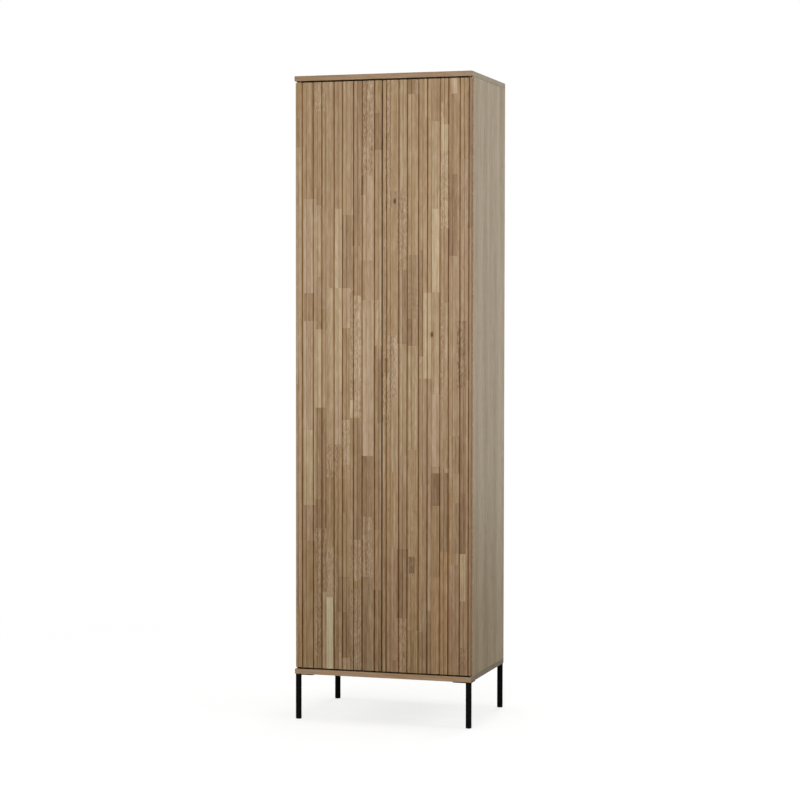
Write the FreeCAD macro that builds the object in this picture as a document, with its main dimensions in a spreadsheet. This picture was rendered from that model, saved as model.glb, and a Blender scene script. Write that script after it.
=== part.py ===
import FreeCAD
import Part
import Sketcher
import math
import os

# Tall oak cabinet with two grooved doors on four round metal legs, in millimetres.
# Origin on the floor under the middle of the carcass: X to the right, Y to the back, Z up.

DOC = FreeCAD.newDocument("cabinet")
SHEET = DOC.addObject("Spreadsheet::Sheet", "Sizes")
NODES = []


class Size:
    """A length that keeps its spreadsheet formula and its present value through arithmetic."""

    def __init__(self, text, value):
        self.text = text
        self.value = value

    @staticmethod
    def of(other):
        return other if isinstance(other, Size) else Size(repr(other), other)

    def __add__(self, other):
        other = Size.of(other)
        return Size(f"({self.text} + {other.text})", self.value + other.value)

    def __sub__(self, other):
        other = Size.of(other)
        return Size(f"({self.text} - {other.text})", self.value - other.value)

    def __mul__(self, other):
        other = Size.of(other)
        return Size(f"({self.text} * {other.text})", self.value * other.value)

    def __truediv__(self, other):
        other = Size.of(other)
        return Size(f"({self.text} / {other.text})", self.value / other.value)

    def __neg__(self):
        return Size(f"(0 - {self.text})", -self.value)

    __radd__ = __add__
    __rmul__ = __mul__


def cell(alias, value, meaning):
    """Add one driving size to the sheet and return it."""
    row = len(SHEET.getUsedCells()) // 2 + 1
    SHEET.set(f"A{row}", meaning)
    SHEET.set(f"B{row}", str(value))
    SHEET.setAlias(f"B{row}", alias)
    return Size(f"Sizes.{alias}", value)


# Carcass
width = cell("width", 570, "overall width")
depth = cell("depth", 400, "overall depth, door front to rear edge")
height = cell("height", 2000, "floor to top surface")
leg_height = cell("leg_height", 142, "floor to underside of the bottom panel")
board = cell("board", 16, "thickness of the carcass boards")
back_thickness = cell("back_thickness", 3, "thickness of the back panel")
back_inset = cell("back_inset", 12, "rear edge to the back panel's rear face")
back_groove = cell("back_groove", 6, "depth of the groove round the back panel")
back_play = cell("back_play", 0.3, "clearance of the back panel in its groove")

# Shelves
fixed_rise = cell("fixed_rise", 905, "bottom panel's top to the fixed shelf's underside")
shelf_pitch = cell("shelf_pitch", 307, "spacing of the shelves' undersides")
shelf_setback = cell("shelf_setback", 8, "loose shelf's front edge behind the sides' front edge")
shelf_play = cell("shelf_play", 1, "clearance round a loose shelf")
pin_radius = cell("pin_radius", 2.5, "shelf pin radius")
pin_reach = cell("pin_reach", 9, "shelf pin length inside the cabinet")
pin_seat = cell("pin_seat", 8.5, "shelf pin length in the side panel")
pin_collar = cell("pin_collar", 0.8, "shelf pin collar thickness")
pin_collar_radius = cell("pin_collar_radius", 4, "shelf pin collar radius")
pin_inset = cell("pin_inset", 37, "hole row from the panel's front edge and from the back panel")
hole_pitch = cell("hole_pitch", 32, "spacing of the shelf pin holes")

# Carcass fittings
fit_play = cell("fit_play", 0.1, "radial clearance of fittings in their holes")
hole_relief = cell("hole_relief", 0.5, "blind hole beyond the end of its fitting")
fitting_inset = cell("fitting_inset", 62, "cam axis from the panel's front edge and back panel")
cam_radius = cell("cam_radius", 7.5, "cam lock radius")
cam_depth = cell("cam_depth", 12, "cam lock length")
cam_offset = cell("cam_offset", 24, "cam axis from the joint")
bolt_radius = cell("bolt_radius", 3, "cam bolt radius")
bolt_seat = cell("bolt_seat", 10.5, "cam bolt length in the mating board")
dowel_radius = cell("dowel_radius", 4, "wooden dowel radius")
dowel_length = cell("dowel_length", 30, "wooden dowel length")
dowel_seat = cell("dowel_seat", 10, "wooden dowel length in the mating board")
dowel_pitch = cell("dowel_pitch", 32, "wooden dowel from the cam lock beside it")
screw_radius = cell("screw_radius", 1.7, "wood screw shank radius")
screw_head_radius = cell("screw_head_radius", 3.4, "wood screw head radius")
screw_head = cell("screw_head", 1.7, "wood screw head depth")
screw_length = cell("screw_length", 12.5, "wood screw length")

# Doors
door_thickness = cell("door_thickness", 18, "door thickness")
door_reveal = cell("door_reveal", 5, "gap above and below a door")
meeting_gap = cell("meeting_gap", 3.2, "gap between the doors")
door_side_inset = cell("door_side_inset", 4, "door's outer edge inside the carcass face")
door_back_gap = cell("door_back_gap", 2.5, "door back to the side panel's front edge")
door_back_round = cell("door_back_round", 3, "rounding of the door's outer back edge")
flute_mouth = cell("flute_mouth", 4.4, "main groove width at the door front")
flute_floor = cell("flute_floor", 2.6, "main groove width at its floor")
flute_depth = cell("flute_depth", 4, "main groove depth")
fine_mouth = cell("fine_mouth", 2.2, "fine groove width at the door front")
fine_floor = cell("fine_floor", 1, "fine groove width at its floor")
fine_depth = cell("fine_depth", 1.4, "fine groove depth")
fine_offset = cell("fine_offset", 13, "fine groove from the main groove on its left")
flute_margin = cell("flute_margin", 1, "least width of wood between a groove and the door's edge")
rib_one = cell("rib_one", 36, "first main groove spacing")
rib_two = cell("rib_two", 28, "second main groove spacing")
rib_three = cell("rib_three", 40, "third main groove spacing")
rib_four = cell("rib_four", 27, "fourth main groove spacing")
left_first_flute = cell("left_first_flute", 22, "left door's first main groove from its outer edge")
right_first_flute = cell("right_first_flute", 12.4, "right door's first main groove from the meeting edge")

# Pivot hinges
pivot_edge = cell("pivot_edge", 7, "pivot axis from the door's outer edge")
pivot_back = cell("pivot_back", 8, "pivot axis from the door's back")
pivot_radius = cell("pivot_radius", 2.5, "pivot pin radius")
pivot_reach = cell("pivot_reach", 13, "pivot pin length in the door")
pivot_play = cell("pivot_play", 0.05, "radial clearance of the pin in its bush")
bush_radius = cell("bush_radius", 4, "bush radius")
bush_length = cell("bush_length", 14, "bush length")
washer_radius = cell("washer_radius", 5.5, "thrust washer radius")
thrust_play = cell("thrust_play", 0.3, "clearance between thrust washer and door")
pivot_plate_length = cell("pivot_plate_length", 46, "pivot plate length")
pivot_plate_width = cell("pivot_plate_width", 14, "pivot plate width")
pivot_plate = cell("pivot_plate", 2.5, "pivot plate thickness")
pivot_plate_end = cell("pivot_plate_end", 6, "pivot axis from the plate's outer end")
pivot_screw_pitch = cell("pivot_screw_pitch", 15, "spacing of pin and screws along the pivot plate")

# Push latches
latch_offset = cell("latch_offset", 40, "latch axis from the cabinet's middle")
latch_front = cell("latch_front", 2.5, "latch front behind the sides' front edge")
latch_length = cell("latch_length", 60, "latch housing length")
latch_body = cell("latch_body", 16, "latch housing body width and height")
latch_flange_width = cell("latch_flange_width", 36, "latch housing flange width")
latch_flange = cell("latch_flange", 3, "latch housing flange thickness")
latch_bore = cell("latch_bore", 52, "latch bore depth")
latch_screw_pitch = cell("latch_screw_pitch", 26, "spacing of the latch screws")
plunger_radius = cell("plunger_radius", 4, "plunger radius")
plunger_length = cell("plunger_length", 32, "plunger length")
plunger_play = cell("plunger_play", 0.3, "clearance of the plunger in its bore and at the strike")
spring_radius = cell("spring_radius", 3, "spring radius to the wire's middle")
spring_wire = cell("spring_wire", 0.4, "spring wire radius")
strike_length = cell("strike_length", 36, "strike plate length")
strike_width = cell("strike_width", 16, "strike plate width")
strike_plate = cell("strike_plate", 1.8, "strike plate thickness")
strike_screw_pitch = cell("strike_screw_pitch", 24, "spacing of the strike screws")

# Legs
leg_radius = cell("leg_radius", 9, "leg tube radius")
leg_wall = cell("leg_wall", 1.5, "leg tube wall")
leg_edge = cell("leg_edge", 0.5, "leg inside the carcass faces")
leg_plate = cell("leg_plate", 2.5, "leg plate thickness")
leg_plate_size = cell("leg_plate_size", 60, "leg plate side")
leg_plate_round = cell("leg_plate_round", 9, "leg plate corner radius")
leg_screw_inset = cell("leg_screw_inset", 10, "leg screws from the leg plate's edges")
glide_height = cell("glide_height", 5, "glide below the leg tube")
glide_round = cell("glide_round", 2.5, "glide's lower edge radius")
glide_stem = cell("glide_stem", 16, "glide stem length in the leg tube")

# Wall brackets
bracket_offset = cell("bracket_offset", 85, "bracket from the cabinet's side")
bracket_width = cell("bracket_width", 32, "bracket width")
bracket_reach = cell("bracket_reach", 30, "bracket length under the top panel")
bracket_drop = cell("bracket_drop", 36, "bracket height down the back panel")
bracket_plate = cell("bracket_plate", 2, "bracket thickness")
bracket_screw_pitch = cell("bracket_screw_pitch", 16, "spacing of a bracket's screws")
anchor_radius = cell("anchor_radius", 2.75, "wall screw hole radius")
anchor_drop = cell("anchor_drop", 22, "wall screw hole below the top panel")

LOOSE_SHELVES = (-2, -1, 1, 2)
HOLES_BESIDE = (-2, -1, 0, 1, 2)
SPRING_TURNS = 7
BACK_SCREWS = 4

# Planes that the pieces share
side_in = width / 2 - board
front = -(depth / 2)
rear = depth / 2
door_back = front + door_thickness
side_front = door_back + door_back_gap
back_front = rear - back_inset - back_thickness
floor_top = leg_height + board
ceiling = height - board
fixed_under = floor_top + fixed_rise
fixed_middle = fixed_under + board / 2
fitting_front = side_front + fitting_inset
fitting_rear = back_front - fitting_inset
door_width = width / 2 - door_side_inset - meeting_gap / 2
door_foot = floor_top + door_reveal
door_height = ceiling - door_reveal - door_foot
pivot_x = width / 2 - door_side_inset - pivot_edge
pivot_y = door_back - pivot_back
edge_middle = side_in + board / 2
bracket_x = width / 2 - bracket_offset
latch_z = fixed_under - latch_flange - latch_body / 2

FITTING_ROWS = ((fitting_front, 1), (fitting_rear, -1))
PIN_ROWS = (side_front + pin_inset, back_front - pin_inset)
SIDES = (("left", -1), ("right", 1))

TURNS = {
    "+x": FreeCAD.Rotation(FreeCAD.Vector(0, 1, 0), 90),
    "-x": FreeCAD.Rotation(FreeCAD.Vector(0, 1, 0), -90),
    "+y": FreeCAD.Rotation(FreeCAD.Vector(1, 0, 0), -90),
    "-y": FreeCAD.Rotation(FreeCAD.Vector(1, 0, 0), 90),
    "+z": FreeCAD.Rotation(),
    "-z": FreeCAD.Rotation(FreeCAD.Vector(1, 0, 0), 180),
}


def bind(obj, prop, size):
    """Tie one property of an object to a size."""
    obj.setExpression(prop, Size.of(size).text)


def place(obj, point):
    """Tie an object's position to three sizes."""
    for axis, size in zip("xyz", point):
        bind(obj, f"Placement.Base.{axis}", size)


def box(name, sizes, corner):
    """Block from its lowest corner."""
    obj = DOC.addObject("Part::Box", name)
    for prop, size in zip(("Length", "Width", "Height"), sizes):
        bind(obj, prop, size)
    place(obj, corner)
    return obj


def rod(name, radius, length, start, axis):
    """Cylinder that leaves its start point along an axis."""
    obj = DOC.addObject("Part::Cylinder", name)
    bind(obj, "Radius", radius)
    bind(obj, "Height", length)
    obj.Placement.Rotation = TURNS[axis]
    place(obj, start)
    return obj


def cone(name, start_radius, end_radius, length, start, axis):
    """Cone that leaves its start point along an axis."""
    obj = DOC.addObject("Part::Cone", name)
    bind(obj, "Radius1", start_radius)
    bind(obj, "Radius2", end_radius)
    bind(obj, "Height", length)
    obj.Placement.Rotation = TURNS[axis]
    place(obj, start)
    return obj


def fuse(name, shapes):
    """One solid from several that meet."""
    obj = DOC.addObject("Part::MultiFuse", name)
    obj.Shapes = shapes
    return obj


def cut(name, base, tools):
    """A base without all of its tools."""
    obj = DOC.addObject("Part::Cut", name)
    obj.Base = base
    obj.Tool = fuse(f"{name}_cutters", tools) if len(tools) > 1 else tools[0]
    return obj


def group(name, members):
    """Several separate solids of one kind."""
    obj = DOC.addObject("Part::Compound", name)
    obj.Links = members
    return obj


def node(obj):
    """Count an object as a piece of the cabinet."""
    NODES.append(obj)
    return obj


def signed(sign, size):
    """A size on the right, or its mirror image on the left."""
    return size if sign > 0 else -size


def outward(sign):
    return "+x" if sign > 0 else "-x"


def screw(name, head, axis):
    """Countersunk wood screw with its head flush at a point, and the hole that it sits in."""
    solid = fuse(name, [
        cone(f"{name}_head", screw_head_radius, screw_radius, screw_head, head, axis),
        rod(f"{name}_shank", screw_radius, screw_length, head, axis),
    ])
    hole = fuse(f"{name}_hole", [
        cone(f"{name}_sink", screw_head_radius + fit_play, screw_radius + fit_play, screw_head, head, axis),
        rod(f"{name}_bore", screw_radius + fit_play, screw_length + hole_relief, head, axis),
    ])
    return solid, hole


def body(name, corner):
    """Empty body at a corner point."""
    obj = DOC.addObject("PartDesign::Body", name)
    place(obj, corner)
    return obj


def sketch(owner, role, name, lift=None):
    """Sketch on one of its body's own planes, lifted along the plane's normal."""
    plane = next(item for item in owner.Origin.OriginFeatures if item.Role == role)
    obj = owner.newObject("Sketcher::SketchObject", name)
    obj.AttachmentSupport = (plane, "")
    obj.MapMode = "FlatFace"
    if lift is not None:
        bind(obj, "AttachmentOffset.Base.z", lift)
    return obj


def pin_point(target, geometry, end, point):
    """Hold a point of a sketch at two distances from its origin; zero lies on the axis."""
    for kind, axis, size in zip(("DistanceX", "DistanceY"), (-2, -1), point):
        size = Size.of(size)
        if size.text == "0":
            target.addConstraint(Sketcher.Constraint("PointOnObject", geometry, end, axis))
            continue
        index = target.addConstraint(Sketcher.Constraint(kind, -1, 1, geometry, end, size.value))
        target.setExpression(f"Constraints[{index}]", size.text)


def polygon(target, points):
    """Closed outline through points given as sizes."""
    ends = [FreeCAD.Vector(Size.of(x).value, Size.of(y).value, 0) for x, y in points]
    first = target.GeometryCount
    for here, there in zip(ends, ends[1:] + ends[:1]):
        target.addGeometry(Part.LineSegment(here, there), False)
    for step, point in enumerate(points):
        before = first + (step - 1) % len(points)
        target.addConstraint(Sketcher.Constraint("Coincident", before, 2, first + step, 1))
        pin_point(target, first + step, 1, point)


def circle(target, centre, radius):
    """Circle with a centre and radius given as sizes."""
    middle = FreeCAD.Vector(Size.of(centre[0]).value, Size.of(centre[1]).value, 0)
    index = target.addGeometry(Part.Circle(middle, FreeCAD.Vector(0, 0, 1), radius.value), False)
    pin_point(target, index, 3, centre)
    constraint = target.addConstraint(Sketcher.Constraint("Radius", index, radius.value))
    target.setExpression(f"Constraints[{constraint}]", radius.text)


def pad(owner, profile, length):
    """Solid raised from a sketch."""
    obj = owner.newObject("PartDesign::Pad", f"{profile.Name}_pad")
    obj.Profile = profile
    bind(obj, "Length", length)
    owner.Tip = obj
    return obj


def pocket(owner, profile, length, against_normal):
    """Cut from a sketch, which has to take material away."""
    DOC.recompute()
    before = owner.Shape.Volume
    obj = owner.newObject("PartDesign::Pocket", f"{profile.Name}_pocket")
    obj.Profile = profile
    obj.Reversed = not against_normal
    bind(obj, "Length", length)
    owner.Tip = obj
    DOC.recompute()
    if owner.Shape.Volume > before - 1e-6:
        raise RuntimeError(f"{obj.Name} cuts nothing")
    return obj


def round_edges(owner, base, radius, chosen):
    """Fillet on the edges of a feature that a test picks."""
    DOC.recompute()
    names = [f"Edge{n}" for n, edge in enumerate(base.Shape.Edges, start=1) if chosen(edge)]
    obj = owner.newObject("PartDesign::Fillet", f"{base.Name}_round")
    obj.Base = (base, names)
    bind(obj, "Radius", radius)
    owner.Tip = obj
    return obj


def upright(edge):
    """Whether an edge is straight and runs along Z."""
    ends = [vertex.Point for vertex in edge.Vertexes]
    return len(ends) == 2 and abs(ends[0].x - ends[1].x) + abs(ends[0].y - ends[1].y) < 1e-6


def tube(name, outer, inner, length, foot):
    """Round tube that stands on a point."""
    obj = body(name, foot)
    ring = sketch(obj, "XY_Plane", f"{name}_ring")
    circle(ring, (0, 0), outer)
    circle(ring, (0, 0), inner)
    pad(obj, ring, length)
    return obj


def carcass_joints():
    """Dowels, cam locks and cam bolts of every carcass joint, with the cuts for each board."""
    pieces = {"cam": [], "bolt": [], "dowel": []}
    cuts = {name: [] for name in ("top", "bottom", "left", "right", "shelf")}
    bolt_length = cam_offset - cam_radius - fit_play + bolt_seat
    for side, sign in SIDES:
        inner_face = signed(sign, side_in)
        middle = signed(sign, edge_middle)
        out = outward(sign)
        back_in = outward(-sign)
        for row, (y, inwards) in enumerate(FITTING_ROWS):
            dowel_y = y + dowel_pitch * inwards
            for end, face, up, down, lift in (
                ("top", ceiling, "+z", "-z", 1),
                ("bottom", floor_top, "-z", "+z", -1),
            ):
                tag = f"{side}_{end}_{row}"
                cam_z = face - cam_offset * lift
                pieces["cam"].append(rod(f"cam_{tag}", cam_radius, cam_depth, (inner_face, y, cam_z), out))
                start = (middle, y, face - (cam_offset - cam_radius - fit_play) * lift)
                pieces["bolt"].append(rod(f"bolt_{tag}", bolt_radius, bolt_length, start, up))
                start = (middle, dowel_y, face - (dowel_length - dowel_seat) * lift)
                pieces["dowel"].append(rod(f"dowel_{tag}", dowel_radius, dowel_length, start, up))
                cuts[side] += [
                    rod(f"cam_bore_{tag}", cam_radius + fit_play, cam_depth + hole_relief,
                        (inner_face, y, cam_z), out),
                    rod(f"bolt_bore_{tag}", bolt_radius + fit_play, cam_offset, (middle, y, face), down),
                    rod(f"dowel_bore_{tag}", dowel_radius + fit_play,
                        dowel_length - dowel_seat + hole_relief, (middle, dowel_y, face), down),
                ]
                cuts[end] += [
                    rod(f"bolt_seat_{tag}", bolt_radius + fit_play, bolt_seat + hole_relief,
                        (middle, y, face), up),
                    rod(f"dowel_seat_{tag}", dowel_radius + fit_play, dowel_seat + hole_relief,
                        (middle, dowel_y, face), up),
                ]
            tag = f"{side}_shelf_{row}"
            cam_x = signed(sign, side_in - cam_offset)
            pieces["cam"].append(rod(f"cam_{tag}", cam_radius, cam_depth, (cam_x, y, fixed_under), "+z"))
            start = (signed(sign, side_in - cam_offset + cam_radius + fit_play), y, fixed_middle)
            pieces["bolt"].append(rod(f"bolt_{tag}", bolt_radius, bolt_length, start, out))
            start = (signed(sign, side_in - dowel_length + dowel_seat), dowel_y, fixed_middle)
            pieces["dowel"].append(rod(f"dowel_{tag}", dowel_radius, dowel_length, start, out))
            cuts["shelf"] += [
                rod(f"cam_bore_{tag}", cam_radius + fit_play, cam_depth + hole_relief,
                    (cam_x, y, fixed_under), "+z"),
                rod(f"bolt_bore_{tag}", bolt_radius + fit_play, cam_offset,
                    (inner_face, y, fixed_middle), back_in),
                rod(f"dowel_bore_{tag}", dowel_radius + fit_play, dowel_length - dowel_seat + hole_relief,
                    (inner_face, dowel_y, fixed_middle), back_in),
            ]
            cuts[side] += [
                rod(f"bolt_seat_{tag}", bolt_radius + fit_play, bolt_seat + hole_relief,
                    (inner_face, y, fixed_middle), out),
                rod(f"dowel_seat_{tag}", dowel_radius + fit_play, dowel_seat + hole_relief,
                    (inner_face, dowel_y, fixed_middle), out),
            ]
    node(group("cam_locks", pieces["cam"]))
    node(group("cam_bolts", pieces["bolt"]))
    node(group("wood_dowels", pieces["dowel"]))
    return cuts


def shelf_rise(step):
    """Underside of the loose shelf so many steps above or below the fixed one."""
    return fixed_under + shelf_pitch * step


def loose_shelves(cuts):
    """Loose shelves, the pins that carry them and the rows of pin holes in the sides."""
    pins = []
    for number, step in enumerate(LOOSE_SHELVES, start=1):
        node(box(
            f"loose_shelf_{number}",
            (side_in * 2 - shelf_play * 2, back_front - side_front - shelf_setback - shelf_play, board),
            (shelf_play - side_in, side_front + shelf_setback, shelf_rise(step)),
        ))
        pin_z = shelf_rise(step) - pin_radius
        for side, sign in SIDES:
            out = outward(sign)
            for row, y in enumerate(PIN_ROWS):
                tag = f"{side}_{number}_{row}"
                pins.append(fuse(f"pin_{tag}", [
                    rod(f"pin_rod_{tag}", pin_radius, pin_reach + pin_seat,
                        (signed(sign, side_in - pin_reach), y, pin_z), out),
                    rod(f"pin_collar_{tag}", pin_collar_radius, pin_collar,
                        (signed(sign, side_in - pin_collar), y, pin_z), out),
                ]))
                for hole in HOLES_BESIDE:
                    cuts[side].append(rod(
                        f"pin_hole_{tag}_{hole + 2}", pin_radius + fit_play, pin_seat + hole_relief,
                        (signed(sign, side_in), y, pin_z + hole_pitch * hole), out,
                    ))
    node(group("shelf_pins", pins))


def pivot_hinges(cuts):
    """Pivot plates with pins, bushes and washers at the top and the foot of each door."""
    screws = []
    for side, sign in SIDES:
        axis_x = signed(sign, pivot_x)
        plate_end = pivot_x + pivot_plate_end
        plate_low = plate_end - pivot_plate_length if sign > 0 else -plate_end
        for level, board_name, face, into, lift in (
            ("upper", "top", ceiling, "+z", 0),
            ("lower", "bottom", floor_top, "-z", 1),
        ):
            name = f"{level}_{side}_pivot"
            seat = face - pivot_plate * lift
            plate = box(f"{name}_blank", (pivot_plate_length, pivot_plate_width, pivot_plate),
                        (plate_low, pivot_y - pivot_plate_width / 2, seat))
            cuts[board_name].append(box(
                f"{name}_mortise",
                (pivot_plate_length + fit_play * 2, pivot_plate_width + fit_play * 2, pivot_plate),
                (plate_low - fit_play, pivot_y - pivot_plate_width / 2 - fit_play, seat),
            ))
            holes = [rod(f"{name}_pin_hole", pivot_radius + pivot_play, pivot_plate,
                         (axis_x, pivot_y, seat), "+z")]
            for step in (1, 2):
                head_x = signed(sign, pivot_x - pivot_screw_pitch * step)
                solid, hole = screw(f"{name}_screw_{step}", (head_x, pivot_y, face), into)
                screws.append(solid)
                holes.append(hole)
                cuts[board_name].append(hole)
            node(cut(f"{name}_plate", plate, holes))
            pin_length = pivot_plate + door_reveal + pivot_reach
            pin_foot = seat if lift else face - door_reveal - pivot_reach
            node(rod(f"{name}_pin", pivot_radius, pin_length, (axis_x, pivot_y, pin_foot), "+z"))
            bush_foot = door_foot if lift else door_foot + door_height - bush_length
            node(tube(f"{name}_bush", bush_radius, pivot_radius + pivot_play, bush_length,
                      (axis_x, pivot_y, bush_foot)))
        node(tube(f"lower_{side}_thrust_washer", washer_radius, pivot_radius + pivot_play,
                  door_reveal - thrust_play, (signed(sign, pivot_x), pivot_y, floor_top)))
    node(group("pivot_plate_screws", screws))


def fits_door(middle, mouth):
    """Whether a groove of this width lies inside the door's edges."""
    half = (mouth / 2 + flute_margin).value
    return half <= middle.value <= door_width.value - half


def flutes_of(first, spacings):
    """Main grooves across a door, each with a fine one on its right, as far as whole grooves fit."""
    grooves = []
    main = first - spacings[-1]
    step = -1
    while main.value < door_width.value:
        if fits_door(main, flute_mouth):
            grooves.append((main, flute_mouth, flute_floor, flute_depth))
        if fits_door(main + fine_offset, fine_mouth):
            grooves.append((main + fine_offset, fine_mouth, fine_floor, fine_depth))
        main = main + spacings[step % len(spacings)]
        step += 1
    return grooves


def door(side, sign, first, spacings):
    """Grooved door in its own corner frame: X to the right, Y to the back from the front face."""
    name = f"{side}_door"
    left_edge = meeting_gap / 2 if sign > 0 else door_side_inset - width / 2
    hinge_edge = door_width if sign > 0 else Size.of(0)
    pivot_at = door_width - pivot_edge if sign > 0 else pivot_edge
    obj = body(name, (left_edge, front, door_foot))
    outline = sketch(obj, "XY_Plane", f"{name}_outline")
    polygon(outline, ((0, 0), (door_width, 0), (door_width, door_thickness), (0, door_thickness)))
    slab = pad(obj, outline, door_height)

    def hinge_back(edge):
        point = edge.Vertexes[0].Point
        return (upright(edge) and abs(point.x - hinge_edge.value) < 1e-6
                and abs(point.y - door_thickness.value) < 1e-6)

    round_edges(obj, slab, door_back_round, hinge_back)
    flutes = sketch(obj, "XY_Plane", f"{name}_flutes")
    for middle, mouth, floor, deep in flutes_of(first, spacings):
        polygon(flutes, (
            (middle - mouth / 2, 0), (middle + mouth / 2, 0),
            (middle + floor / 2, deep), (middle - floor / 2, deep),
        ))
    pocket(obj, flutes, door_height, against_normal=False)
    for end, lift, against in (("foot", None, False), ("head", door_height, True)):
        bore = sketch(obj, "XY_Plane", f"{name}_{end}_bore", lift)
        circle(bore, (pivot_at, door_thickness - pivot_back), bush_radius + fit_play)
        pocket(obj, bore, bush_length, against)
    pilots = sketch(obj, "XZ_Plane", f"{name}_strike_holes", -door_thickness)
    middle = latch_offset - left_edge if sign > 0 else -latch_offset - left_edge
    for step in (-1, 1):
        circle(pilots, (middle + strike_screw_pitch / 2 * step, latch_z - door_foot), screw_radius + fit_play)
    pocket(obj, pilots, screw_length - strike_plate + hole_relief, against_normal=False)
    node(obj)
    return obj


def strikes():
    """Strike plate on the back of each door, in front of its latch."""
    for side, sign in SIDES:
        middle = signed(sign, latch_offset)
        face = door_back + strike_plate
        screws = []
        holes = []
        for step in (-1, 1):
            head = (middle + strike_screw_pitch / 2 * step, face, latch_z)
            solid, hole = screw(f"{side}_strike_screw_{step + 2}", head, "-y")
            screws.append(solid)
            holes.append(hole)
        blank = box(f"{side}_strike_blank", (strike_length, strike_plate, strike_width),
                    (middle - strike_length / 2, door_back, latch_z - strike_width / 2))
        node(cut(f"{side}_strike_plate", blank, holes))
        node(group(f"{side}_strike_screws", screws))


def spring_coil(name, foot_y, end_y, middle_x):
    """Coil spring along Y, as one wire of quarter-turn arcs."""
    lead = (end_y - foot_y) / SPRING_TURNS

    def on_coil(turn):
        angle = 2 * math.pi * turn
        return FreeCAD.Vector(spring_radius.value * math.cos(angle), lead * turn,
                              spring_radius.value * math.sin(angle))

    arcs = []
    for quarter in range(4 * SPRING_TURNS):
        points = [on_coil((quarter + part) / 4) for part in (0, 0.5, 1)]
        arcs.append(Part.Arc(*points).toShape())
    path = Part.Wire(arcs)
    start = on_coil(0)
    tangent = arcs[0].tangentAt(arcs[0].FirstParameter)
    ring = Part.Wire(Part.Circle(start, tangent, spring_wire.value).toShape())
    obj = DOC.addObject("Part::Feature", name)
    obj.Shape = path.makePipeShell([ring], True, False)
    obj.Placement.Base = FreeCAD.Vector(middle_x, foot_y, latch_z.value)
    return obj


def latches(cuts):
    """Push latches under the fixed shelf: housing, plunger and spring for each door."""
    screws = []
    latch_y = side_front + latch_front
    for side, sign in SIDES:
        middle = signed(sign, latch_offset)
        flange = box(f"{side}_latch_flange", (latch_flange_width, latch_length, latch_flange),
                     (middle - latch_flange_width / 2, latch_y, fixed_under - latch_flange))
        block = box(f"{side}_latch_block", (latch_body, latch_length, latch_body),
                    (middle - latch_body / 2, latch_y, fixed_under - latch_flange - latch_body))
        bore = rod(f"{side}_latch_bore", plunger_radius + plunger_play, latch_bore,
                   (middle, latch_y, latch_z), "+y")
        holes = [bore]
        for step in (-1, 1):
            head = (middle + latch_screw_pitch / 2 * step, latch_y + latch_length / 2,
                    fixed_under - latch_flange)
            solid, hole = screw(f"{side}_latch_screw_{step + 2}", head, "+z")
            screws.append(solid)
            holes.append(hole)
            cuts["shelf"].append(hole)
        node(cut(f"{side}_latch_housing", fuse(f"{side}_latch_casting", [flange, block]), holes))
        tip = door_back + strike_plate + plunger_play
        node(rod(f"{side}_latch_plunger", plunger_radius, plunger_length, (middle, tip, latch_z), "+y"))
        spring_foot = (tip + plunger_length).value + spring_wire.value
        spring_end = (latch_y + latch_bore).value - spring_wire.value
        node(spring_coil(f"{side}_latch_spring", spring_foot, spring_end, middle.value))
    node(group("latch_screws", screws))


def back(cuts):
    """Back panel in a groove round the carcass, screwed to the fixed shelf."""
    lip = back_groove - back_play
    blank = box("back_blank", (side_in * 2 + lip * 2, back_thickness, ceiling - floor_top + lip * 2),
                (-side_in - lip, back_front, floor_top - lip))
    groove_front = back_front - back_play / 2
    groove_width = back_thickness + back_play
    groove_span = side_in * 2 + back_groove * 2
    cuts["top"].append(box("top_groove", (groove_span, groove_width, back_groove),
                           (-side_in - back_groove, groove_front, ceiling)))
    cuts["bottom"].append(box("bottom_groove", (groove_span, groove_width, back_groove),
                              (-side_in - back_groove, groove_front, floor_top - back_groove)))
    for side, sign in SIDES:
        low = side_in if sign > 0 else -side_in - back_groove
        cuts[side].append(box(f"{side}_groove", (back_groove, groove_width, ceiling - floor_top),
                              (low, groove_front, floor_top)))
    screws = []
    holes = []
    spacing = side_in * 2 / BACK_SCREWS
    for number in range(BACK_SCREWS):
        head = (spacing * (number + 0.5) - side_in, back_front + back_thickness, fixed_middle)
        solid, hole = screw(f"back_screw_{number + 1}", head, "-y")
        screws.append(solid)
        holes.append(hole)
        cuts["shelf"].append(hole)
    for side, sign in SIDES:
        holes.append(rod(f"{side}_anchor_hole", anchor_radius, back_thickness,
                         (signed(sign, bracket_x), back_front, ceiling - anchor_drop), "+y"))
    node(cut("back_panel", blank, holes))
    node(group("back_panel_screws", screws))


def wall_brackets(cuts):
    """Angle brackets under the top panel for two screws into a wall."""
    screws = []
    for side, sign in SIDES:
        low = signed(sign, bracket_x) - bracket_width / 2
        angle = fuse(f"{side}_bracket_angle", [
            box(f"{side}_bracket_top", (bracket_width, bracket_reach, bracket_plate),
                (low, back_front - bracket_reach, ceiling - bracket_plate)),
            box(f"{side}_bracket_back", (bracket_width, bracket_plate, bracket_drop),
                (low, back_front - bracket_plate, ceiling - bracket_drop)),
        ])
        holes = [rod(f"{side}_bracket_hole", anchor_radius, bracket_plate,
                     (signed(sign, bracket_x), back_front - bracket_plate, ceiling - anchor_drop), "+y")]
        for step in (-1, 1):
            head = (signed(sign, bracket_x) + bracket_screw_pitch / 2 * step,
                    back_front - bracket_plate - (bracket_reach - bracket_plate) / 2,
                    ceiling - bracket_plate)
            solid, hole = screw(f"{side}_bracket_screw_{step + 2}", head, "+z")
            screws.append(solid)
            holes.append(hole)
            cuts["top"].append(hole)
        node(cut(f"{side}_wall_bracket", angle, holes))
    node(group("wall_bracket_screws", screws))


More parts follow.
